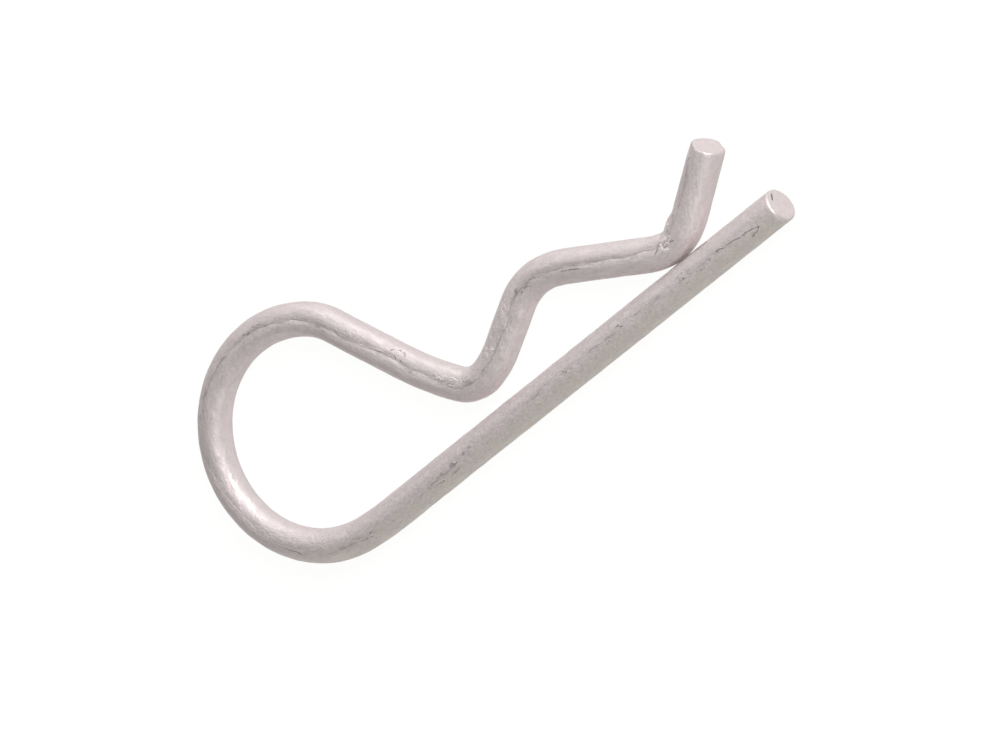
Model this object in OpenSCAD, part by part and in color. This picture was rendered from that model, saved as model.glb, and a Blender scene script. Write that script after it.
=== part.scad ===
// Hitch R-clip: one length of round spring wire, bent in a single plane.
// It lies flat on its side. The straight leg runs along +X, and the shaped leg is on its +Y side.
// The origin is under the middle of the clip's outline, at the height that it lies on.

/* [Wire] */
// Diameter of the round wire
wire_d = 4; // [2:0.5:6]

/* [Straight leg] */
// Straight length of the leg, from its cut end to where the wire starts to curve
leg_run = 62; // [50:1:120]
// Chamfer round the leg's cut end
leg_chamfer = 0.25; // [0.05:0.05:0.6]

/* [Loop] */
// Inside diameter of the round loop
loop_d = 22; // [18:0.5:40]
// Inside radius of the gentle curve that leads from the leg into the loop
loop_lead_r = 32; // [20:1:60]
// Turn of that gentle curve, in degrees
loop_lead_turn = 8; // [2:1:15]
// Inside radius of the tighter curve that closes the loop
loop_close_r = 6; // [4:0.5:9]
// Turn of that tighter curve, in degrees
loop_close_turn = 22; // [5:1:40]

/* [Throat] */
// Angle to the leg at which the wire leaves the loop, in degrees
throat_angle = 59; // [50:1:70]
// Inside radius of the slight curve before the valley
throat_ease_r = 40; // [20:1:60]
// Turn of that slight curve, in degrees
throat_ease_turn = 11; // [2:1:20]

/* [Valley] */
// Clearance between the leg and the lowest point of the valley
valley_gap = 1.7; // [0.6:0.1:4]
// Inside radius of the valley's bend
valley_bend_r = 2; // [1:0.25:4]
// Inside radius of the wider curve out of the valley
valley_exit_r = 9; // [6:0.5:14]
// Turn of that wider curve, in degrees
valley_exit_turn = 19; // [5:1:25]
// Angle to the leg at which the wire climbs out of the valley, in degrees
rise_angle = 30; // [28:1:40]

/* [Hump] */
// Diameter of the hitch pin that the hump grips
hitch_pin_d = 16; // [14:1:24]
// Clearance between the hitch pin and the top of the hump
hitch_pin_clearance = 0.8; // [0.2:0.1:1.5]
// Inside radius of the hump's bend
hump_bend_r = 5.25; // [3:0.25:8]
// Inside radius of the wider curve at the hump's far side
hump_exit_r = 14; // [10:0.5:20]
// Turn of that wider curve, in degrees
hump_exit_turn = 8; // [2:1:12]
// Angle to the leg at which the wire falls to the contact, in degrees
fall_angle = 27.5; // [25:0.5:35]

/* [Contact and flare] */
// Gap left between the leg and the bend that presses on it
contact_gap = 0.05; // [0.02:0.01:0.2]
// Inside radius of the contact bend
contact_bend_r = 4; // [2:0.25:6]
// Inside radius of the wider curve into the flare
contact_exit_r = 12; // [8:0.5:16]
// Turn of that wider curve, in degrees
contact_exit_turn = 7; // [2:1:12]
// Angle to the leg at which the flare opens, in degrees
flare_angle = 36; // [30:0.5:50]
// Straight length of the flare, along its axis
flare_run = 7.5; // [4:0.25:15]
// Tilt of the flare's sheared end face towards the upper side, in degrees
flare_cut_tilt = 11; // [1:1:25]

/* [Hidden] */

$fn = 96;
wire_r = wire_d / 2;
wire_colour = [0.72, 0.69, 0.68];

// Centreline radii of the loop and of the gentle curve before it
loop_r = loop_d / 2 + wire_r;
lead_r = loop_lead_r + wire_r;

// Heights of the wire's centreline above the leg's, where it runs level
valley_height = wire_d + valley_gap;
hump_height = hitch_pin_d / 2 + hitch_pin_clearance + wire_r;
contact_height = wire_d + contact_gap;

// The wire is followed from the leg's cut end, and directions are degrees anticlockwise from +X:
// it starts along the leg at 180, turns right round the loop and ends at flare_angle.
leg_heading = 180;
loop_start = leg_heading - loop_lead_turn;
loop_end = loop_close_turn - throat_angle;

// Rise across the leg of a bend, from its inside radius and its first and last directions
function bend_rise(inside_r, from, to) =
    (inside_r + wire_r) * (to > from ? cos(from) - cos(to) : cos(to) - cos(from));

// Rise of the bends on each side of the straight runs
loop_rise = bend_rise(loop_lead_r, leg_heading, loop_start)
    + bend_rise(loop_d / 2, loop_start, loop_end)
    + bend_rise(loop_close_r, loop_end, -throat_angle);
into_valley = bend_rise(throat_ease_r, -throat_angle, throat_ease_turn - throat_angle)
    + bend_rise(valley_bend_r, throat_ease_turn - throat_angle, 0);
out_of_valley = bend_rise(valley_bend_r, 0, rise_angle - valley_exit_turn)
    + bend_rise(valley_exit_r, rise_angle - valley_exit_turn, rise_angle);
onto_hump = bend_rise(hump_bend_r, rise_angle, 0);
off_hump = bend_rise(hump_bend_r, 0, hump_exit_turn - fall_angle)
    + bend_rise(hump_exit_r, hump_exit_turn - fall_angle, -fall_angle);
into_contact = bend_rise(contact_bend_r, -fall_angle, 0);

// The straight runs that join those bends at the right heights
throat_run = (loop_rise + into_valley - valley_height) / sin(throat_angle);
rise_run = (hump_height - valley_height - out_of_valley - onto_hump) / sin(rise_angle);
fall_run = (hump_height + off_hump + into_contact - contact_height) / sin(fall_angle);

// The wire's stretches in order: [length] is a straight run, and [inside radius, turn] is a bend,
// where a turn to the left is positive.
STRETCHES = [
    [leg_run],
    [loop_lead_r, -loop_lead_turn],
    [loop_d / 2, loop_end - loop_start],
    [loop_close_r, -loop_close_turn],
    [throat_run],
    [throat_ease_r, throat_ease_turn],
    [valley_bend_r, throat_angle - throat_ease_turn + rise_angle - valley_exit_turn],
    [valley_exit_r, valley_exit_turn],
    [rise_run],
    [hump_bend_r, hump_exit_turn - fall_angle - rise_angle],
    [hump_exit_r, -hump_exit_turn],
    [fall_run],
    [contact_bend_r, fall_angle + flare_angle - contact_exit_turn],
    [contact_exit_r, contact_exit_turn],
    [flare_run]
];
LAST = len(STRETCHES) - 1;

// Middle of the clip's outline, from the point where the leg starts to curve
loop_centre_x = (loop_r - lead_r) * sin(loop_lead_turn);
loop_centre_y = lead_r + (loop_r - lead_r) * cos(loop_lead_turn);
middle_x = (loop_centre_x - loop_r - wire_r + leg_run) / 2;
middle_y = (loop_centre_y + loop_r) / 2;

// Each stretch starts at the origin and leaves it along +X. Every second one is thicker by a
// hundredth of a millimetre, and the others lap into it, so that all the joints close.
lap = 0.05;
lap_step = 0.01;
function is_lapped(i) = i % 2 == 1;

module straight_run(length, r, lap_in, lap_out) {
    translate([-lap_in, 0, 0])
        rotate([0, 90, 0])
            cylinder(r = r, h = lap_in + length + lap_out);
}

module bend(inside_r, turn, r, lap_in, lap_out) {
    bend_r = inside_r + wire_r;
    side = sign(turn);
    start = -side * (90 + lap_in / bend_r * 180 / PI);
    sweep = turn + side * (lap_in + lap_out) / bend_r * 180 / PI;
    translate([0, side * bend_r, 0])
        rotate_extrude(angle = abs(sweep), start = min(start, start + sweep))
            translate([bend_r, 0])
                circle(r = r);
}

// The leg's own end is its chamfered tip
module leg() {
    rotate([0, 90, 0])
        cylinder(r1 = wire_r - leg_chamfer, r2 = wire_r, h = leg_chamfer);
    translate([leg_chamfer, 0, 0])
        straight_run(leg_run - leg_chamfer, wire_r, 0, lap);
}

// The flare's own end is sheared off at a tilt
module flare() {
    cut_reach = wire_r * tan(flare_cut_tilt);
    difference() {
        straight_run(flare_run, wire_r, lap, cut_reach);
        translate([flare_run, 0, 0])
            rotate([0, flare_cut_tilt, 0])
                translate([0, -wire_d, -wire_d])
                    cube(2 * wire_d);
    }
}

module stretch_of_wire(i) {
    stretch = STRETCHES[i];
    r = is_lapped(i) ? wire_r + lap_step : wire_r;
    own_lap = is_lapped(i) ? 0 : lap;
    if (i == 0)
        leg();
    else if (i == LAST)
        flare();
    else if (len(stretch) == 1)
        straight_run(stretch[0], r, own_lap, own_lap);
    else
        bend(stretch[0], stretch[1], r, own_lap, own_lap);
}

// Carries its children to the end of a stretch
module after(stretch) {
    if (len(stretch) == 1) {
        translate([stretch[0], 0, 0])
            children();
    } else {
        to_centre = sign(stretch[1]) * (stretch[0] + wire_r);
        translate([0, to_centre, 0])
            rotate([0, 0, stretch[1]])
                translate([0, -to_centre, 0])
                    children();
    }
}

// The wire from one stretch to its end, each stretch carrying the next
module wire_from(i) {
    stretch_of_wire(i);
    if (i < LAST)
        after(STRETCHES[i])
            wire_from(i + 1);
}

// The whole clip, bent from one wire
module clip_wire() {
    color(wire_colour)
        translate([leg_run - middle_x, -middle_y, wire_r + lap_step])
            rotate([0, 0, leg_heading])
                wire_from(0);
}

clip_wire();
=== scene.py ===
import bisect
import math

import bmesh
import bpy
from mathutils import Matrix, Vector, noise


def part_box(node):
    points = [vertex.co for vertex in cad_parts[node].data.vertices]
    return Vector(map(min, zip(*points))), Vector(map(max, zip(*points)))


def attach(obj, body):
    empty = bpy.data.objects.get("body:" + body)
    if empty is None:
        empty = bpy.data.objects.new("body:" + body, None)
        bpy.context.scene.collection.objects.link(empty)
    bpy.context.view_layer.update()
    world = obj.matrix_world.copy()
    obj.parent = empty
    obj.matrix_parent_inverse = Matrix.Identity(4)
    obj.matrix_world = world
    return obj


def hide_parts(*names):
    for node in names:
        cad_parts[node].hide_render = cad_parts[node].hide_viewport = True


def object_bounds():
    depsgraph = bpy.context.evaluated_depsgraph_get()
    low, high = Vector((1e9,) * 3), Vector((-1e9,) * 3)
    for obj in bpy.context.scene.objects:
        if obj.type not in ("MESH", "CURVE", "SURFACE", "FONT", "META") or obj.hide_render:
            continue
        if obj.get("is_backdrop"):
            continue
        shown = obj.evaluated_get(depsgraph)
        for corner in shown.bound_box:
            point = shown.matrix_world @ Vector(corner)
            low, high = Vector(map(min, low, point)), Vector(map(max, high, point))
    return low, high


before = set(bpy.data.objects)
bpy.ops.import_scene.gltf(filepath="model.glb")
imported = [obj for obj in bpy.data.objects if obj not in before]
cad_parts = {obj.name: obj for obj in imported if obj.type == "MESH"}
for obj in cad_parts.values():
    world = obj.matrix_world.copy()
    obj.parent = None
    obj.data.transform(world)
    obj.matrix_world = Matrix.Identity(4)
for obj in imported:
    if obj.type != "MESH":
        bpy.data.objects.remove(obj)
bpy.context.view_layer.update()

# ---------------------------------------------------------------------------------------------
# Sizes, in metres and radians
# ---------------------------------------------------------------------------------------------
MM = 0.001
UP = Vector((0, 0, 1))

WIRE_R = 2.0 * MM
LEG_RUN = 62 * MM
FLARE_RUN = 7.5 * MM
TIP_CHAMFER = 0.25 * MM

# Heights of the wire's centreline over the straight leg's, where it runs level
VALLEY_HEIGHT = 5.7 * MM
HUMP_HEIGHT = 10.8 * MM
CONTACT_HEIGHT = 4.05 * MM

# Angles to the leg at which the wire leaves the loop, climbs to the hump and falls to the contact
THROAT_ANGLE = math.radians(59)
RISE_ANGLE = math.radians(30)
FALL_ANGLE = math.radians(27.5)

# The mesh's own fineness
SIDES = 80
RING_GAP = 0.17 * MM
FACE_RINGS = 7
RIM_STEPS = 4

# Points this near to an end of the straight wire are on its end face
ON_END = 0.01 * MM


# ---------------------------------------------------------------------------------------------
# The wire's centreline: the same runs and bends as the CAD solid's
# ---------------------------------------------------------------------------------------------
def bend(inside_r, turn_degrees):
    """A bend by its inside radius in millimetres and its turn, to the left where positive."""
    return {"r": inside_r * MM + WIRE_R, "turn": math.radians(turn_degrees)}


def run(length):
    """A straight run by its length."""
    return {"length": length}


def climb(stretch, heading):
    """How far a bend that starts at a heading goes across the leg."""
    side = math.copysign(stretch["r"], stretch["turn"])
    return side * (math.cos(heading) - math.cos(heading + stretch["turn"]))


def run_to_height(bends_before, bends_after, heading, height_change):
    """The straight run at a heading that leaves the rest of a height change to its bends."""
    rest = height_change
    at = heading - sum(b["turn"] for b in bends_before)
    for b in bends_before + bends_after:
        rest -= climb(b, at)
        at += b["turn"]
    return run(rest / math.sin(heading))


LEG = run(LEG_RUN)
LOOP_LEAD = bend(32, -8)
LOOP = bend(11, -209)
LOOP_CLOSE = bend(6, -22)
THROAT_EASE = bend(40, 11)
VALLEY_IN = bend(2, 48)
VALLEY_OUT = bend(2, 11)
VALLEY_EXIT = bend(9, 19)
HUMP_ON = bend(5.25, -30)
HUMP_OFF = bend(5.25, -19.5)
HUMP_EXIT = bend(14, -8)
CONTACT_IN = bend(4, 27.5)
CONTACT_OUT = bend(4, 29)
FLARE_EASE = bend(12, 7)
FLARE = run(FLARE_RUN)

THROAT = run_to_height(
    [LOOP_LEAD, LOOP, LOOP_CLOSE], [THROAT_EASE, VALLEY_IN], -THROAT_ANGLE, VALLEY_HEIGHT
)
RISE = run_to_height([VALLEY_OUT, VALLEY_EXIT], [HUMP_ON], RISE_ANGLE, HUMP_HEIGHT - VALLEY_HEIGHT)
FALL = run_to_height([HUMP_OFF, HUMP_EXIT], [CONTACT_IN], -FALL_ANGLE, CONTACT_HEIGHT - HUMP_HEIGHT)

STRETCHES = [
    LEG, LOOP_LEAD, LOOP, LOOP_CLOSE, THROAT, THROAT_EASE, VALLEY_IN, VALLEY_OUT, VALLEY_EXIT,
    RISE, HUMP_ON, HUMP_OFF, HUMP_EXIT, FALL, CONTACT_IN, CONTACT_OUT, FLARE_EASE, FLARE,
]


def stretch_length(stretch):
    """Length of a run or a bend, along its centreline."""
    return stretch["length"] if "length" in stretch else stretch["r"] * abs(stretch["turn"])


WIRE_LENGTH = sum(stretch_length(s) for s in STRETCHES)


def along_at(stretch, share):
    """Distance along the wire of a share of one stretch."""
    before = STRETCHES[:STRETCHES.index(stretch)]
    return sum(stretch_length(s) for s in before) + share * stretch_length(stretch)


# ---------------------------------------------------------------------------------------------
# Wear and tool marks, with painted shade and a painted highlight among them, each with a place along the wire
# and a side of it
# ---------------------------------------------------------------------------------------------
# Sides are angles round the wire. On the straight wire +Y comes to lie to the left of the way it
# runs, which is the loop's outer side, and a quarter turn is the top
LEFT, RIGHT = 0.0, math.pi

# The coat's relief: (height in mm, size of its lumps in mm, seed, how much longer they are)
COAT = [(0.026, 2.4, 1, 2.5), (0.026, 0.9, 2, 1.8), (0.011, 0.40, 3, 1.4)]
# The coat covers the wire from this far out, so that the middles of its end faces stay plain
COAT_FROM = 0.5 * WIRE_R
SEED_STEPS = (7.3, 3.1, 5.7)

# The sheared ends: how far each slants between its upper and its lower side, how much longer
# than the plain run it is, how far in it is shaped, and how rough it is
LEG_CUT_SLOPE = 0.32 * MM
LEG_EXTRA = 0.35 * MM
FLARE_CUT_SLOPE = 0.38 * MM
FLARE_EXTRA = 0.15 * MM
END_REACH = 5 * MM
END_ROUGHNESS = 0.05 * MM
END_LUMPS = 0.7 * MM

# Corners trimmed off the sheared ends: the side they lie on, and how far out the trim starts
LEG_CORNER = (math.radians(35), 0.84 * WIRE_R)
FLARE_CORNER = (math.radians(-128), 0.80 * WIRE_R)
CORNER_STEEPNESS = 1.3

# Flats left by the bending tools and, last, by the shear: (place along the wire, side, depth in mm,
# half length)
DIE_MARKS = [
    (along_at(HUMP_ON, 0.25), LEFT, 0.10, 1.6 * MM),
    (along_at(HUMP_OFF, 0.6), LEFT, 0.10, 1.5 * MM),
    (along_at(HUMP_ON, 0.9), RIGHT, 0.08, 1.4 * MM),
    (along_at(VALLEY_OUT, 0.0), RIGHT, 0.09, 2.0 * MM),
    (along_at(CONTACT_IN, 0.5), RIGHT, 0.08, 2.2 * MM),
    (along_at(LOOP, 0.78), LEFT, 0.04, 3.0 * MM),
    (WIRE_LENGTH - 0.2 * MM, math.radians(38), 0.24, 1.7 * MM),
]

# Zinc pinched up at the contact bend, and the dents beside it:
# (place along the wire, side, height in mm, reach along, reach round)
PINCHES = [
    (along_at(CONTACT_OUT, 0.10), math.radians(15), -0.27, 1.8 * MM, 1.9 * MM),
    (along_at(CONTACT_OUT, 0.75), math.radians(28), 0.15, 2.2 * MM, 1.6 * MM),
    (along_at(CONTACT_OUT, 0.20), math.radians(82), -0.12, 1.25 * MM, 1.05 * MM),
    (along_at(CONTACT_OUT, 0.20), math.radians(82), 0.18, 0.80 * MM, 0.50 * MM),
]
CRUMPLE = 0.9
CRUMPLE_LUMPS = 0.55 * MM

# The drawn wire's seam wanders round it, laid where the lit top meets the shaded side, so that its dark line
# is partly painted shade and the blotchy darkening beside it is painted shade: (mm along the wire, side in
# degrees)
SEAM = [
    (0, 84), (20, 92), (44, 90), (60, 64), (69, 72), (84, 96), (94, 64), (100, 80), (106, 86), (111, 84),
    (116, 92), (122, 84), (127, 79), (131, 83), (135, 94), (141, 94), (146, 100), (150, 97), (154, 92),
    (158, 86), (164, 86), (168, 76), (174, 70), (182, 62),
]

# Where the zinc is crusty: (place along the wire, side, reach along, reach round)
CRUSTY = [
    (along_at(RISE, 0.15), math.radians(70), 3.6 * MM, 1.5 * MM),
    (along_at(RISE, 0.95), math.radians(66), 2.4 * MM, 1.2 * MM),
    (along_at(VALLEY_OUT, 0.0) - 3.5 * MM, math.radians(72), 3.6 * MM, 1.2 * MM),
    (along_at(CONTACT_OUT, 0.30), math.radians(70), 2.0 * MM, 1.4 * MM),
]

# Where tools and other clips have marked it most, in the same way
MARKED = [
    (along_at(THROAT, 0.35), math.radians(78), 3.0 * MM, 0.9 * MM),
    (along_at(HUMP_ON, 0.5), math.radians(98), 4.5 * MM, 1.5 * MM),
    (along_at(LOOP, 0.93), math.radians(70), 4.5 * MM, 1.8 * MM),
    (along_at(CONTACT_OUT, 0.5), math.radians(75), 3.0 * MM, 1.5 * MM),
    (along_at(CONTACT_OUT, 1.2), math.radians(45), 2.6 * MM, 0.9 * MM),
    # The next place darkens the flare's tip, partly as marks and partly as painted shade on a facet turned
    # from the light
    (WIRE_LENGTH - 1.4 * MM, math.radians(58), 1.6 * MM, 0.8 * MM),
    (32 * MM, math.radians(97), 3.0 * MM, 1.2 * MM),
    (24 * MM, math.radians(90), 2.6 * MM, 1.2 * MM),
    (14 * MM, math.radians(96), 2.4 * MM, 1.2 * MM),
    (52 * MM, math.radians(78), 4.5 * MM, 1.2 * MM),
]

# Dark scratch marks: each a width in mm and its corners, (mm along the wire, side in degrees).
# The last one is painted shade: the dark contact shadow where the contact bend meets the leg
SCRATCHES_AND_CONTACT_SHADE = [
    (0.13, [(8.4, 90), (5.8, 83), (5.0, 80), (2.9, 76), (2.5, 69), (2.8, 63), (3.8, 57)]),
    (0.11, [(170.5, 92), (170.9, 99)]),
    (0.14, [(169.3, 66), (168.9, 78), (168.4, 93)]),
    (0.10, [(125.8, 50), (126.8, 38), (127.6, 42), (127.7, 51)]),
    (0.12, [(126.6, 66), (126.9, 68)]),
    (0.12, [(127.5, 70), (127.9, 73)]),
    (0.12, [(156.2, 100), (158.4, 99)]),
    (0.11, [(74.0, 66), (74.6, 74), (75.6, 72)]),
    (0.40, [(9.5, 153), (12.0, 156), (15.0, 160)]),
]
SCRATCH_WAVER = 0.5 * MM
# A painted highlight along a fold under the pinched zinc, drawn in the same way
FOLD_HIGHLIGHTS = [(0.20, [(170.0, 66), (169.5, 76), (169.4, 90), (169.9, 103)])]
# The slot in the leg's end face, painted dark as shade in its groove: its width, and where it starts and ends
# on the straight wire
SLOT_WIDTH = 0.15 * MM
SLOT_START = Vector((0, -0.85, 0.92)) * MM
SLOT_END = Vector((0, -1.42, 0.52)) * MM

# ---------------------------------------------------------------------------------------------
# Colours, lamps and camera
# ---------------------------------------------------------------------------------------------
ROSE = (0.83, 0.75, 0.757, 1)
PLAIN = (0.815, 0.755, 0.745, 1)
# Painted shade: an olive tint for the leg's side turned from the key light
OLIVE_SHADE = (0.772, 0.740, 0.668, 1)
DULL = (0.60, 0.545, 0.548, 1)
PALE = (0.93, 0.875, 0.862, 1)
# Painted shade: blotchy darkening beside the seam, where the lit top meets the shaded side
SEAM_SHADE = (0.47, 0.43, 0.44, 1)
# Dark marks, and painted shade: the contact shadow line, part of the seam's line and the slot
MARK_AND_SHADE = (0.24, 0.21, 0.215, 1)
CUT_END = (0.86, 0.79, 0.785, 1)

# What tints the zinc, in order: (mask, share of it, colour)
# The olive tint and the seam's blotchy darkening are painted shade, the marks carry painted shade too, and
# the crust takes in a painted highlight on a fold
DRAWN_TINTS = [
    ("clouds", 1.0, PLAIN), ("olive shade", 0.9, OLIVE_SHADE), ("flecks", 0.26, DULL), ("grain", 0.30, PALE),
    ("seam_shade", 0.34, SEAM_SHADE), ("crust", 0.70, PALE), ("marks", 0.60, MARK_AND_SHADE),
]
# The slot's dark tint is painted shade in its groove
END_TINTS = [("flecks", 0.22, DULL), ("grain", 0.20, PALE), ("shaded_slot", 0.9, MARK_AND_SHADE)]

# How high the same masks stand in the zinc's bump, in its own unit
BUMP_UNIT = 0.05 * MM
DRAWN_RELIEF = [("crest", 6.5), ("flecks", 0.45), ("grain", 0.24), ("crust", 0.80), ("marks", -0.80)]
END_RELIEF = [("flecks", 0.45), ("shaded_slot", -1.6)]

# Roughness from no flecks to full ones, metal share from no grain to full, and what crust adds
DRAWN_ROUGHNESS, DRAWN_METAL = (0.47, 0.58), (0.62, 0.46)
END_FACE_ROUGHNESS, END_FACE_METAL = (0.50, 0.62), (0.60, 0.46)
CRUST_ROUGHNESS = 0.15

# Where along the wire the leg's painted olive shade fades out, and where the seam, with its partly painted
# shade, gains its full strength
OLIVE_SHADE_FADES = (66 * MM, 82 * MM)
SEAM_GAINS = (80 * MM, 108 * MM)
SEAM_ON_LEG = 0.35

FLOOR_HALF_WIDTH = 2.0
FLOOR_GREY = (0.10, 0.10, 0.10, 1)
FLOOR_GLOW = (0.67, 0.65, 0.64, 1)
WHITE = (1.0, 1.0, 0.995, 1)
WHITE_STRENGTH = 0.94
STUDIO_GREY = (0.166, 0.162, 0.158, 1)

# Round soft lamps: (name, degrees above the floor, degrees round from +X, watts)
LAMPS = [
    ("key", 38, 20, 2.24),
    ("top", 65, 0, 0.62),
    ("low", 12, 72, 0.65),
    ("fill", 38, -70, 0.47),
    ("far", 38, 110, 0.32),
    ("back", 12, 216, 0.28),
]
LAMP_COLOUR = (1.0, 0.97, 0.98)
LAMP_WIDTH = 400 * MM
LAMP_DISTANCE = 600 * MM

SENSOR_MM = 36
LENS_MM = 257.85
CAMERA_TARGET = Vector((-0.569, -8.302, 2.0)) * MM
CAMERA_DISTANCE = 800 * MM
CAMERA_LEAN = math.radians(30.46)
CAMERA_ROLL = math.radians(15.51)
CAMERA_TURN = math.radians(20.36)
NEAREST_SEEN = 0.01
FARTHEST_SEEN = 10


# ---------------------------------------------------------------------------------------------
# The wire's mesh: modelled straight along +X, and then bent
# ---------------------------------------------------------------------------------------------
def straight_wire():
    """The wire before it is bent, from its leg's end at 0, with worn rims and ringed end faces."""
    bm = bmesh.new()
    along_x = Matrix.Translation((WIRE_LENGTH / 2, 0, 0)) @ Matrix.Rotation(math.pi / 2, 4, "Y")
    bmesh.ops.create_cone(
        bm, cap_ends=True, segments=SIDES, radius1=WIRE_R, radius2=WIRE_R, depth=WIRE_LENGTH, matrix=along_x
    )
    rims = [e for e in bm.edges if abs(e.verts[0].co.x - e.verts[1].co.x) < WIRE_R]
    bmesh.ops.bevel(
        bm, geom=rims, offset=TIP_CHAMFER, offset_type="OFFSET", segments=RIM_STEPS, profile=0.5,
        affect="EDGES", material=-1, clamp_overlap=True,
    )
    for _ in range(FACE_RINGS):
        ends = [f for f in bm.faces if len(f.verts) == SIDES]
        bmesh.ops.inset_individual(bm, faces=ends, thickness=WIRE_R / (FACE_RINGS + 2))
    lengthwise = [e for e in bm.edges if e.calc_length() > WIRE_LENGTH / 2]
    bmesh.ops.subdivide_edges(bm, edges=lengthwise, cuts=round(WIRE_LENGTH / RING_GAP), use_grid_fill=False)
    return bm


def centre_at(beginning, along):
    """The centreline's place and heading at a distance along the wire, in the stretch that holds it."""
    begin, start, heading, stretch = beginning
    if "length" in stretch:
        return start + Vector((math.cos(heading), math.sin(heading), 0)) * (along - begin), heading
    turned = math.copysign((along - begin) / stretch["r"], stretch["turn"])
    to_centre = Vector((-math.sin(heading), math.cos(heading), 0))
    to_centre *= math.copysign(stretch["r"], stretch["turn"])
    return start + to_centre - Matrix.Rotation(turned, 3, "Z") @ to_centre, heading + turned


def lay_out(start, heading):
    """Where each stretch begins: its distance along the wire, its place and its heading."""
    along, laid = 0.0, []
    for stretch in STRETCHES:
        laid.append((along, start.copy(), heading, stretch))
        along += stretch_length(stretch)
        start, heading = centre_at(laid[-1], along)
    return laid


def bend_to_shape(bm, start, heading):
    """Carries each point of the straight wire to its place on the bent one."""
    laid = lay_out(start, heading)
    begins = [stretch[0] for stretch in laid]
    for vert in bm.verts:
        stretch = laid[max(0, bisect.bisect_right(begins, vert.co.x) - 1)]
        centre, at_heading = centre_at(stretch, vert.co.x)
        across = Vector((-math.sin(at_heading), math.cos(at_heading), 0))
        vert.co = centre + across * vert.co.y + UP * vert.co.z


def swell(distance, reach):
    """A smooth hump: 1 at no distance, and 0 at its reach and beyond."""
    near = max(0.0, 1 - (distance / reach) ** 2)
    return near * near


def round_from(point, side):
    """Distance round the wire from a side of it to a point, either way."""
    off = math.atan2(point.z, point.y) - side
    return ((off + math.pi) % (2 * math.pi) - math.pi) * WIRE_R


def near_place(point, along, side, reach_along, reach_round):
    """1 at a place on the wire, falling to 0 at its reach along the wire and round it."""
    return swell(math.hypot((point.x - along) / reach_along, round_from(point, side) / reach_round), 1.0)


def out_towards(point, side):
    """How far out a point of the straight wire lies towards a side of it."""
    return point.y * math.cos(side) + point.z * math.sin(side)


def rough(point, size, seed, stretched=1.0):
    """Even noise from -1 to 1 whose lumps have a size, and are longer along the wire."""
    place = Vector((point.x / (size * stretched), point.y / size, point.z / size))
    return noise.noise(place + Vector([seed * step for step in SEED_STEPS]))


def coat_relief(point):
    """How far the zinc stands proud of the drawn wire at a point of the straight wire."""
    return sum(height * rough(point, size * MM, seed, longer) for height, size, seed, longer in COAT) * MM


def die_marks(point):
    """How far the bending tools' flats cut in at a point, as a negative height."""
    depth = 0.0
    for along, side, deep, reach in DIE_MARKS:
        flat_at = WIRE_R - deep * MM * swell(point.x - along, reach)
        depth = min(depth, flat_at - out_towards(point, side))
    return depth


def pinched(point):
    """How far the crumpled zinc at the contact bend stands out."""
    high = sum(height * near_place(point, along, side, *reach) for along, side, height, *reach in PINCHES)
    return high * (1 + CRUMPLE * rough(point, CRUMPLE_LUMPS, seed=7)) * MM


def trimmed(point, corner):
    """How far a sheared end is trimmed back at a point, past a straight line across its corner."""
    side, begins = corner
    return CORNER_STEEPNESS * max(0.0, out_towards(point, side) - begins)


def shaped_end(point):
    """Slants the sheared ends and trims their corners, as a shift along the wire."""
    leg_share = swell(point.x, END_REACH)
    flare_share = swell(WIRE_LENGTH - point.x, END_REACH)
    leg_end = LEG_CUT_SLOPE * point.z / WIRE_R - LEG_EXTRA + trimmed(point, LEG_CORNER)
    flare_end = FLARE_EXTRA - FLARE_CUT_SLOPE * point.z / WIRE_R - trimmed(point, FLARE_CORNER)
    return leg_share * leg_end + flare_share * flare_end


def on_end(point):
    """Whether a point of the straight wire is on one of its end faces."""
    return min(point.x, WIRE_LENGTH - point.x) < ON_END


def wear_wire(bm):
    """Gives the straight wire its galvanised coat, its tool marks and its sheared ends."""
    for vert in bm.verts:
        point = vert.co.copy()
        radius = math.hypot(point.y, point.z)
        if radius > COAT_FROM:
            outward = Vector((0, point.y, point.z)) / radius
            on_side = min(1.0, radius / WIRE_R)
            vert.co += outward * (coat_relief(point) + die_marks(point) + pinched(point)) * on_side
        if on_end(point):
            vert.co.x += END_ROUGHNESS * rough(Vector((0, point.y, point.z)), END_LUMPS, seed=6)
        vert.co.x += shaped_end(point)


def seam_side(along):
    """The side that the seam lies on, at a distance along the wire."""
    along = min(max(along / MM, SEAM[0][0]), SEAM[-1][0])
    for (first, side), (last, next_side) in zip(SEAM, SEAM[1:]):
        if along <= last:
            share = (along - first) / (last - first)
            share = share * share * (3 - 2 * share)
            return math.radians(side + share * (next_side - side))
    return math.radians(SEAM[-1][1])


def store_wear(bm):
    """Stores on the straight wire its own places, where its seam runs, and where it is crusty or marked."""
    straight = bm.verts.layers.float_vector.new("on_straight_wire")
    seam = bm.verts.layers.float.new("from_seam")
    crusty = bm.verts.layers.float.new("crusty")
    marked = bm.verts.layers.float.new("marked")
    for vert in bm.verts:
        vert[straight] = vert.co
        vert[seam] = round_from(vert.co, seam_side(vert.co.x))
        vert[crusty] = min(1.0, sum(near_place(vert.co, *place) for place in CRUSTY))
        vert[marked] = min(1.0, sum(near_place(vert.co, *place) for place in MARKED))


def build_wire(start, heading):
    """The galvanised wire, bent from its leg's end along a heading, in place of the CAD's plain one."""
    bm = straight_wire()
    store_wear(bm)
    wear_wire(bm)
    bend_to_shape(bm, start, heading)
    bmesh.ops.recalc_face_normals(bm, faces=bm.faces)
    mesh = bpy.data.meshes.new("galvanised_wire")
    bm.to_mesh(mesh)
    bm.free()
    mesh.shade_smooth()
    wire = bpy.data.objects.new("galvanised_wire", mesh)
    bpy.context.scene.collection.objects.link(wire)
    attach(wire, "root")
    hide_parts("clip_wire")
    return wire


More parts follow.
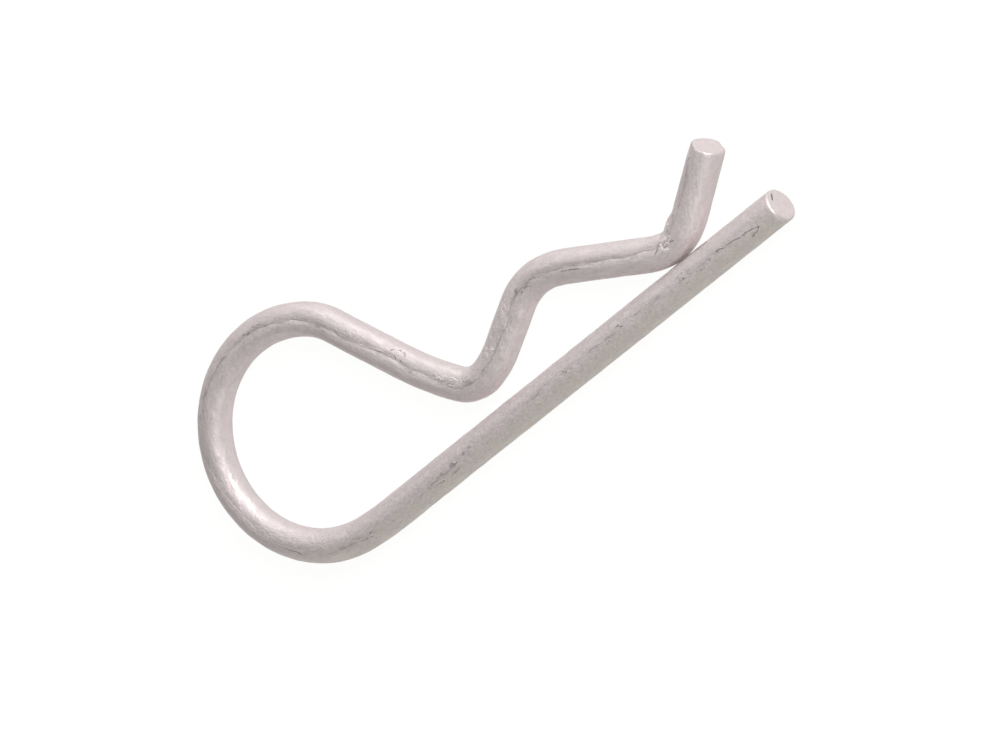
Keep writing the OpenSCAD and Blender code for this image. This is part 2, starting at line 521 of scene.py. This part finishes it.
# ---------------------------------------------------------------------------------------------
# Node helpers
# ---------------------------------------------------------------------------------------------
FLOAT, VECTOR = "NodeSocketFloat", "NodeSocketVector"


def add(tree, kind, settings=None, **inputs):
    """A node with its settings and its inputs, plain or linked: i0 is the first, and _ stands for a space."""
    node = tree.nodes.new(kind)
    for name, value in (settings or {}).items():
        setattr(node, name, value)
    for name, value in inputs.items():
        key = int(name[1:]) if name[0] == "i" and name[1:].isdigit() else name.replace("_", " ")
        if isinstance(value, bpy.types.NodeSocket):
            tree.links.new(value, node.inputs[key])
        else:
            node.inputs[key].default_value = value
    return node


def new_group(name, inputs, outputs):
    """An empty shader group with named inputs, {name: kind}, and named float outputs."""
    group = bpy.data.node_groups.new(name, "ShaderNodeTree")
    for socket, kind in inputs.items():
        group.interface.new_socket(name=socket, in_out="INPUT", socket_type=kind)
    for socket in outputs:
        group.interface.new_socket(name=socket, in_out="OUTPUT", socket_type=FLOAT)
    return group, group.nodes.new("NodeGroupInput").outputs, group.nodes.new("NodeGroupOutput").inputs


def give(group, out, **results):
    """Links a group's results to its outputs, and hands the group back."""
    for name, value in results.items():
        group.links.new(value, out[name])
    return group


def use(tree, group, **inputs):
    """Places a group in a material with its own values, and gives its outputs."""
    return add(tree, "ShaderNodeGroup", {"node_tree": group}, **inputs).outputs


def maths(tree, operation, first, second=0.0, clamp=False):
    settings = {"operation": operation, "use_clamp": clamp}
    return add(tree, "ShaderNodeMath", settings, i0=first, i1=second).outputs[0]


def plus(tree, first, second, clamp=False):
    return maths(tree, "ADD", first, second, clamp)


def minus(tree, first, second, clamp=False):
    return maths(tree, "SUBTRACT", first, second, clamp)


def times(tree, first, second):
    return maths(tree, "MULTIPLY", first, second)


def larger(tree, first, second):
    return maths(tree, "MAXIMUM", first, second)


def either_way(tree, value):
    """A distance without its sign."""
    return maths(tree, "ABSOLUTE", value)


def vector_maths(tree, operation, first, second):
    return add(tree, "ShaderNodeVectorMath", {"operation": operation}, i0=first, i1=second).outputs


def spread(tree, value, low, high, to_low=0.0, to_high=1.0):
    """Maps a value's range to another, held at both ends and eased between them."""
    made = add(
        tree, "ShaderNodeMapRange", {"interpolation_type": "SMOOTHSTEP", "clamp": True},
        Value=value, From_Min=low, From_Max=high, To_Min=to_low, To_Max=to_high,
    )
    return made.outputs["Result"]


def fade(tree, value, near, far):
    """1 where a value is at most near, easing to 0 where it is far or more."""
    return spread(tree, value, near, far, 1.0, 0.0)


def stretched_noise(tree, place, per_metre, stretch, detail=2.0, roughness=0.55):
    """Noise whose spots are longer along the wire."""
    scaled = vector_maths(tree, "MULTIPLY", place, (1 / stretch, 1.0, 1.0))[0]
    return add(
        tree, "ShaderNodeTexNoise", {"noise_dimensions": "3D"},
        Vector=scaled, Scale=per_metre, Detail=detail, Roughness=roughness,
    ).outputs["Fac"]


def swing(tree, value, reach):
    """Turns a noise about its middle into a swing either way."""
    return times(tree, minus(tree, value, 0.5), reach)


def winding_line(tree, value, width):
    """A thin line wherever a noise passes its middle, from 0 to 1."""
    return fade(tree, either_way(tree, minus(tree, value, 0.5)), 0.25 * width, width)


def stored(tree, name):
    """What the wire's mesh stores under a name."""
    return add(tree, "ShaderNodeAttribute", {"attribute_name": name}).outputs


# ---------------------------------------------------------------------------------------------
# Node groups for the zinc's finish
# ---------------------------------------------------------------------------------------------
def mottle_group():
    """The zinc's dull mottling: broad clouds, flecks and fine grain, each from 0 to 1."""
    group, entry, out = new_group("zinc mottle", {"Place": VECTOR}, ["Clouds", "Flecks", "Grain"])
    place = entry["Place"]
    clouds = stretched_noise(group, place, per_metre=330, stretch=2.6, detail=3)
    flecks = stretched_noise(group, place, per_metre=1200, stretch=1.9, detail=3, roughness=0.6)
    grain = stretched_noise(group, place, per_metre=3600, stretch=1.3, detail=2, roughness=0.6)
    return give(
        group, out,
        Clouds=spread(group, clouds, low=0.38, high=0.62),
        Flecks=spread(group, flecks, low=0.36, high=0.64),
        Grain=spread(group, grain, low=0.32, high=0.68),
    )


def seam_group():
    """The drawn wire's seam, laid where the lit top meets the shaded side: a wavering dark line with gaps,
    partly painted shade, blotchy painted shade beside it, and its low crest.
    """
    group, entry, out = new_group(
        "drawn seam and shade", {"Place": VECTOR, "From Seam": FLOAT, "Amount": FLOAT}, ["Line", "Smudge", "Crest"]
    )
    place, amount = entry["Place"], entry["Amount"]
    sway = stretched_noise(group, place, per_metre=420, stretch=1.6, detail=1)
    swayed = plus(group, entry["From Seam"], swing(group, sway, reach=0.9 * MM))
    waver = stretched_noise(group, place, per_metre=900, stretch=1.6, detail=4, roughness=0.65)
    from_line = either_way(group, plus(group, swayed, swing(group, waver, reach=0.7 * MM)))

    unbroken = stretched_noise(group, place, per_metre=420, stretch=2.5, detail=3)
    unbroken = spread(group, plus(group, unbroken, times(group, amount, 0.16)), low=0.56, high=0.66)
    line = times(group, fade(group, from_line, near=0.03 * MM, far=0.16 * MM), unbroken)

    # Painted shade: blotchy darkening beside the seam's line
    blotches = stretched_noise(group, place, per_metre=800, stretch=1.8, detail=3, roughness=0.6)
    blotches = spread(group, blotches, low=0.46, high=0.60)
    seam_shade = times(group, fade(group, from_line, near=0.05 * MM, far=0.7 * MM), blotches)

    crest = maths(group, "DIVIDE", either_way(group, swayed), 2.0 * MM)
    crest = maths(group, "POWER", minus(group, 1.0, crest, clamp=True), 1.6)
    return give(group, out, Line=line, Smudge=times(group, seam_shade, amount), Crest=times(group, crest, amount))


def marks_group():
    """Thin winding marks that run along the wire, in patches, with a few pits."""
    group, entry, out = new_group("handling marks", {"Place": VECTOR, "Amount": FLOAT}, ["Marks"])
    place = entry["Place"]
    lines = stretched_noise(group, place, per_metre=1500, stretch=3.4, detail=3, roughness=0.6)
    breaks = stretched_noise(group, place, per_metre=1900, stretch=1.6)
    pits = stretched_noise(group, place, per_metre=3100, stretch=1.5, detail=1)
    patches = plus(group, stretched_noise(group, place, per_metre=420, stretch=2.4), entry["Amount"])
    lines = times(group, winding_line(group, lines, width=0.045), spread(group, breaks, low=0.48, high=0.56))
    pits = times(group, spread(group, pits, low=0.70, high=0.76), 0.8)
    marks = times(group, larger(group, lines, pits), spread(group, patches, low=1.02, high=1.12))
    return give(group, out, Marks=marks)


def crust_group():
    """Pale crusty zinc: winding ridges and spots, where the amount lets them."""
    group, entry, out = new_group("zinc crust", {"Place": VECTOR, "Amount": FLOAT}, ["Crust"])
    place = entry["Place"]
    ridges = stretched_noise(group, place, per_metre=1000, stretch=1.3, detail=3, roughness=0.6)
    breaks = stretched_noise(group, place, per_metre=900, stretch=1.2)
    spots = stretched_noise(group, place, per_metre=1700, stretch=1.2)
    ridges = times(group, winding_line(group, ridges, width=0.07), spread(group, breaks, low=0.44, high=0.56))
    both = larger(group, ridges, spread(group, spots, low=0.60, high=0.68))
    crust = times(group, both, spread(group, entry["Amount"], low=0.15, high=0.75))
    return give(group, out, Crust=crust)


def scratch_group():
    """One straight line mask between two points of the straight wire, for scratch marks, painted shade lines,
    the slot and a painted highlight.
    """
    inputs = {"Place": VECTOR, "From": VECTOR, "To": VECTOR, "Width": FLOAT}
    group, entry, out = new_group("scratch", inputs, ["Mark"])
    reach = vector_maths(group, "SUBTRACT", entry["To"], entry["From"])[0]
    here = vector_maths(group, "SUBTRACT", entry["Place"], entry["From"])[0]
    along = vector_maths(group, "DOT_PRODUCT", here, reach)["Value"]
    whole = vector_maths(group, "DOT_PRODUCT", reach, reach)["Value"]
    share = maths(group, "DIVIDE", along, whole, clamp=True)
    nearest = add(group, "ShaderNodeVectorMath", {"operation": "SCALE"}, i0=reach, Scale=share).outputs[0]
    away = vector_maths(group, "DISTANCE", here, nearest)["Value"]
    return give(group, out, Mark=fade(group, away, times(group, entry["Width"], 0.35), entry["Width"]))


# ---------------------------------------------------------------------------------------------
# Zinc on the wire's drawn side and on its cut ends
# ---------------------------------------------------------------------------------------------
def on_wire(along, side):
    """A place on the straight wire's surface, from millimetres along it and a side in degrees."""
    turn = math.radians(side)
    return Vector((along * MM, WIRE_R * math.cos(turn), WIRE_R * math.sin(turn)))


def wavered(tree, place):
    """A place nudged a little at random, so that a line drawn there isn't ruler straight."""
    settings = {"noise_dimensions": "3D"}
    nudge = add(tree, "ShaderNodeTexNoise", settings, Vector=place, Scale=1400.0, Detail=2.0).outputs["Color"]
    nudge = vector_maths(tree, "SUBTRACT", nudge, (0.5, 0.5, 0.5))[0]
    nudge = vector_maths(tree, "MULTIPLY", nudge, (SCRATCH_WAVER, SCRATCH_WAVER, SCRATCH_WAVER))[0]
    return vector_maths(tree, "ADD", place, nudge)[0]


def scratch_mark(tree, groups, place, start, end, width):
    """The mask of one straight line, used for scratch marks, painted shade lines, the shaded slot and a
    painted highlight.
    """
    return use(tree, groups["scratch"], Place=place, From=start, To=end, Width=width)["Mark"]


def draw_lines(tree, groups, place, lines):
    """All the lines of a list, joined in one mask."""
    marks = None
    for width, corners in lines:
        points = [on_wire(*corner) for corner in corners]
        for start, end in zip(points, points[1:]):
            mark = scratch_mark(tree, groups, place, start, end, width * MM)
            marks = mark if marks is None else larger(tree, marks, mark)
    return marks


def dark_marks_and_shade(tree, groups, place, from_seam, seam_line_and_shade):
    """The drawn side's dark marks and painted shade: handling marks, thickest by the seam, the seam's line,
    scratch marks, and the painted contact shadow where the contact bend meets the leg.
    """
    # Painted shade in part: marks are thickest by the seam, where the lit top meets the shaded side
    by_seam = spread(tree, either_way(tree, from_seam), 0.2 * MM, 1.3 * MM, to_low=0.48, to_high=0.28)
    amount = plus(tree, by_seam, times(tree, stored(tree, "marked")["Fac"], 0.22))
    handling = use(tree, groups["marks"], Place=place, Amount=amount)["Marks"]
    # The last of these lines is painted contact shadow, not a scratch
    scratches_and_contact_shade = draw_lines(tree, groups, wavered(tree, place), SCRATCHES_AND_CONTACT_SHADE)
    return larger(tree, larger(tree, handling, times(tree, seam_line_and_shade, 0.55)), scratches_and_contact_shade)


def tinted(tree, colour, tints, masks):
    """A colour with all its tints."""
    for name, share, towards in tints:
        mask = times(tree, masks[name], share)
        colour = add(tree, "ShaderNodeMix", {"data_type": "RGBA"}, i0=mask, i6=colour, i7=towards).outputs[2]
    return colour


def bump(tree, relief, masks):
    """A bump from the masks that stand out or cut in."""
    height = 0.0
    for name, units in relief:
        height = plus(tree, height, times(tree, masks[name], units))
    made = add(tree, "ShaderNodeBump", Height=height, Distance=BUMP_UNIT, Strength=1.0)
    return made.outputs["Normal"]


def finish(tree, **looks):
    """Links what changes over the surface to the material's shader."""
    for name, value in looks.items():
        tree.links.new(value, tree.nodes["Principled BSDF"].inputs[name.replace("_", " ")])


def new_material(name):
    """A node material and its tree."""
    material = bpy.data.materials.new(name)
    material.use_nodes = True
    return material, material.node_tree


def drawn_masks(tree, groups):
    """Where the drawn side has its mottling, its seam with its painted shade, its crust with a painted
    highlight on a fold, its marks with painted shade, and the painted olive shade on the leg's side turned
    from the key light.
    """
    place = stored(tree, "on_straight_wire")["Vector"]
    from_seam = stored(tree, "from_seam")["Fac"]
    position = add(tree, "ShaderNodeSeparateXYZ", Vector=place).outputs
    mottle = use(tree, groups["mottle"], Place=place)

    strength = spread(tree, position["X"], *SEAM_GAINS, to_low=SEAM_ON_LEG, to_high=1.0)
    seam = use(tree, groups["seam"], Place=place, From_Seam=from_seam, Amount=strength)
    crust = use(tree, groups["crust"], Place=place, Amount=stored(tree, "crusty")["Fac"])["Crust"]
    # Painted shade: an olive tint on the leg's side turned from the key light, fading out into the loop
    olive_shade_side = spread(tree, position["Y"], -0.1 * WIRE_R, 0.55 * WIRE_R)
    return {
        "clouds": mottle["Clouds"], "flecks": mottle["Flecks"], "grain": mottle["Grain"],
        # Painted shade: blotchy darkening beside the seam, and the seam's line, partly painted shade
        "seam_shade": seam["Smudge"], "crest": seam["Crest"],
        # The crust also takes in a painted highlight along a fold
        "crust": larger(tree, crust, draw_lines(tree, groups, place, FOLD_HIGHLIGHTS)),
        # The marks also take in painted shade by the seam and at the contact
        "marks": dark_marks_and_shade(tree, groups, place, from_seam, seam["Line"]),
        "olive shade": times(tree, olive_shade_side, fade(tree, position["X"], *OLIVE_SHADE_FADES)),
    }


def zinc_material(groups):
    """Dull galvanised zinc on drawn steel wire."""
    material, tree = new_material("zinc_plated_steel")
    masks = drawn_masks(tree, groups)
    roughness = spread(tree, masks["flecks"], 0.0, 1.0, *DRAWN_ROUGHNESS)
    finish(
        tree,
        Base_Color=tinted(tree, ROSE, DRAWN_TINTS, masks),
        Roughness=plus(tree, roughness, times(tree, masks["crust"], CRUST_ROUGHNESS), clamp=True),
        Metallic=spread(tree, masks["grain"], 0.0, 1.0, *DRAWN_METAL),
        Normal=bump(tree, DRAWN_RELIEF, masks),
    )
    return material


def cut_end_material(groups):
    """The sheared ends, zinc plated over the cut: a little rougher and paler than the drawn side."""
    material, tree = new_material("zinc_plated_cut_end")
    place = stored(tree, "on_straight_wire")["Vector"]
    mottle = use(tree, groups["mottle"], Place=place)
    # Painted shade: the slot is darkened as shade in its groove
    shaded_slot = scratch_mark(tree, groups, place, SLOT_START, SLOT_END, SLOT_WIDTH)
    masks = {"flecks": mottle["Flecks"], "grain": mottle["Grain"], "shaded_slot": shaded_slot}
    finish(
        tree,
        Base_Color=tinted(tree, CUT_END, END_TINTS, masks),
        Roughness=spread(tree, masks["flecks"], 0.0, 1.0, *END_FACE_ROUGHNESS),
        Metallic=spread(tree, masks["grain"], 0.0, 1.0, *END_FACE_METAL),
        Normal=bump(tree, END_RELIEF, masks),
    )
    return material


def plate_wire(wire):
    """Gives the wire's drawn side and its cut ends their own zinc."""
    groups = {
        "mottle": mottle_group(), "seam": seam_group(), "marks": marks_group(),
        "crust": crust_group(), "scratch": scratch_group(),
    }
    wire.data.materials.append(zinc_material(groups))
    wire.data.materials.append(cut_end_material(groups))
    straight = wire.data.attributes["on_straight_wire"].data
    for face in wire.data.polygons:
        face.material_index = int(all(on_end(straight[v].vector) for v in face.vertices))


# ---------------------------------------------------------------------------------------------
# Camera, floor and light
# ---------------------------------------------------------------------------------------------
def look_down(target, distance, lean, roll, turn):
    """Camera pose: it looks at the target from a lean off the clip's upright, rolled in its own view."""
    sideways = Vector((math.cos(turn), -math.sin(turn), 0))
    onwards = Vector((math.sin(turn), math.cos(turn), 0))
    back = math.sin(lean) * sideways + math.cos(lean) * UP
    level = math.cos(lean) * sideways - math.sin(lean) * UP
    right = math.cos(roll) * level - math.sin(roll) * onwards
    up = math.sin(roll) * level + math.cos(roll) * onwards
    pose = Matrix((right, up, back)).transposed().to_4x4()
    pose.translation = target + back * distance
    return pose


def add_camera():
    """The camera, and the scene's view through it."""
    data = bpy.data.cameras.new("camera")
    data.sensor_width = SENSOR_MM
    data.lens = LENS_MM
    data.clip_start = NEAREST_SEEN
    data.clip_end = FARTHEST_SEEN
    camera = bpy.data.objects.new("camera", data)
    camera.matrix_world = look_down(CAMERA_TARGET, CAMERA_DISTANCE, CAMERA_LEAN, CAMERA_ROLL, CAMERA_TURN)
    bpy.context.scene.collection.objects.link(camera)
    bpy.context.scene.camera = camera


def add_lamp(name, elevation, azimuth, watts):
    """A round soft light that looks at the clip from a direction given in degrees."""
    data = bpy.data.lights.new(name, "AREA")
    data.shape = "DISK"
    data.size = LAMP_WIDTH
    data.energy = watts
    data.color = LAMP_COLOUR
    lamp = bpy.data.objects.new(name, data)
    bpy.context.scene.collection.objects.link(lamp)
    up, around = math.radians(elevation), math.radians(azimuth)
    direction = Vector((math.cos(up) * math.cos(around), math.cos(up) * math.sin(around), math.sin(up)))
    lamp.location = direction * LAMP_DISTANCE
    lamp.rotation_euler = direction.to_track_quat("Z", "Y").to_euler()


def show_camera(tree, output, seen, hidden):
    """Shows the camera one shader, and lights everything else with another."""
    for_camera = add(tree, "ShaderNodeLightPath").outputs["Is Camera Ray"]
    both = add(tree, "ShaderNodeMixShader", i0=for_camera, i1=hidden.outputs[0], i2=seen.outputs[0])
    tree.links.new(both.outputs[0], tree.nodes[output].inputs["Surface"])


def floor_material():
    """Near white to the camera, with a dimmer glow on the clip's underside."""
    material, tree = new_material("pale_floor")
    seen = tree.nodes["Principled BSDF"]
    seen.inputs["Base Color"].default_value = FLOOR_GREY
    seen.inputs["Roughness"].default_value = 1.0
    seen.inputs["Specular IOR Level"].default_value = 0.0
    seen.inputs["Emission Color"].default_value = WHITE
    seen.inputs["Emission Strength"].default_value = WHITE_STRENGTH
    hidden = add(tree, "ShaderNodeEmission", Color=FLOOR_GLOW, Strength=1.0)
    show_camera(tree, "Material Output", seen, hidden)
    return material


def add_floor(height):
    """A pale floor that glows a little, so that shadows on it stay faint."""
    bm = bmesh.new()
    at_height = Matrix.Translation((0, 0, height))
    bmesh.ops.create_grid(bm, x_segments=1, y_segments=1, size=FLOOR_HALF_WIDTH, matrix=at_height)
    mesh = bpy.data.meshes.new("floor")
    bm.to_mesh(mesh)
    bm.free()
    mesh.materials.append(floor_material())
    floor = bpy.data.objects.new("floor", mesh)
    bpy.context.scene.collection.objects.link(floor)
    floor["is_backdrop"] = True


def add_world():
    """A dim even studio, which looks white behind the clip."""
    world = bpy.data.worlds.new("studio")
    world.use_nodes = True
    tree = world.node_tree
    hidden = tree.nodes["Background"]
    hidden.inputs["Color"].default_value = STUDIO_GREY
    hidden.inputs["Strength"].default_value = 1.0
    seen = add(tree, "ShaderNodeBackground", Color=WHITE, Strength=1.0)
    show_camera(tree, "World Output", seen, hidden)
    bpy.context.scene.world = world


box_low, box_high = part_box("clip_wire")
leg_end = Vector((box_high.x, box_low.y + WIRE_R, (box_low.z + box_high.z) / 2))
plate_wire(build_wire(leg_end, heading=math.pi))
add_camera()
add_floor(min(0.0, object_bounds()[0][2]))
add_world()
for lamp in LAMPS:
    add_lamp(*lamp)
bpy.context.scene.view_settings.view_transform = "Standard"
